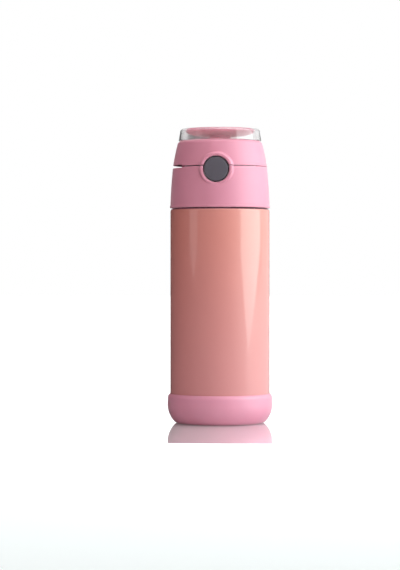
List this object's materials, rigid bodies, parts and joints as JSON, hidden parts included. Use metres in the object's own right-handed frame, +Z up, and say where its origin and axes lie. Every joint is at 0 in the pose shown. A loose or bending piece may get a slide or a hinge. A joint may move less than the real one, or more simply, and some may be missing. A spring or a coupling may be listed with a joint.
{
  "type": "baby bottle",
  "caption": "Child's insulated straw bottle: painted steel flask in a soft boot, screw-on lid and a flip cap with a clear top, opened by a round push button.",
  "frame": {"origin": "centre of the boot's underside, on the bottle's axis, at table height", "axes": "+Z up the bottle's axis, -Y towards the push button, +Y towards the cap's hinge"},
  "size_m": [0.0698, 0.0698, 0.1951],
  "materials": {
    "coral_paint": "gloss",
    "bare_steel": "brushed",
    "seal_glass": "gloss",
    "getter_metal": "matte",
    "boot_silicone": "matte",
    "clear_silicone": "satin",
    "pale_plastic": "satin",
    "pink_plastic": "satin",
    "spring_steel": "bright",
    "clear_plastic": "gloss",
    "grey_plastic": "satin"
  },
  "bodies": {
    "bottle": {"outer_shell": "coral_paint", "inner_liner": "bare_steel", "base_plate": "bare_steel", "vacuum_seal_bead": "seal_glass", "getter": "getter_metal", "boot": "boot_silicone"},
    "straw": {"straw": "clear_silicone"},
    "seal": {"neck_seal": "clear_silicone"},
    "lid": {"collar": "pink_plastic", "lid_insert": "pale_plastic", "spout": "clear_silicone", "vent_valve": "clear_silicone", "hinge_pin": "spring_steel", "hinge_spring": "spring_steel", "button_spring": "spring_steel"},
    "cap": {"cap_shell": "pink_plastic", "cap_liner": "pale_plastic", "spout_stopper": "clear_silicone", "clear_dome": "clear_plastic"},
    "button": {"button_cap": "grey_plastic", "latch_slide": "pale_plastic"}
  },
  "joints": [
    {"name": "lid_lift", "type": "slide", "parent": "bottle", "child": "straw", "axis": [0, 0, 1], "range_m": [0, 0.15]},
    {"name": "lid_rise", "type": "slide", "parent": "straw", "child": "seal", "axis": [0, 0, 1], "range_m": [0, 0.005]},
    {"name": "lid_turn", "type": "hinge", "parent": "seal", "child": "lid", "pos_m": [0, 0, 0.1589], "axis": [0, 0, 1], "range_deg": [0, 450]},
    {"name": "cap_hinge", "type": "hinge", "parent": "lid", "child": "cap", "pos_m": [0, 0.0305, 0.16985], "axis": [-1, 0, 0], "range_deg": [0, 120], "deforming": ["hinge_spring"]},
    {"name": "button_press", "type": "slide", "parent": "lid", "child": "button", "axis": [0, 1, 0], "range_m": [0, 0.002], "stiffness_N_per_m": 600, "deforming": ["button_spring"]}
  ],
  "couplings": [
    {"joint": "lid_rise", "follows": "lid_turn", "m_per_rad": 0.00063662}
  ]
}
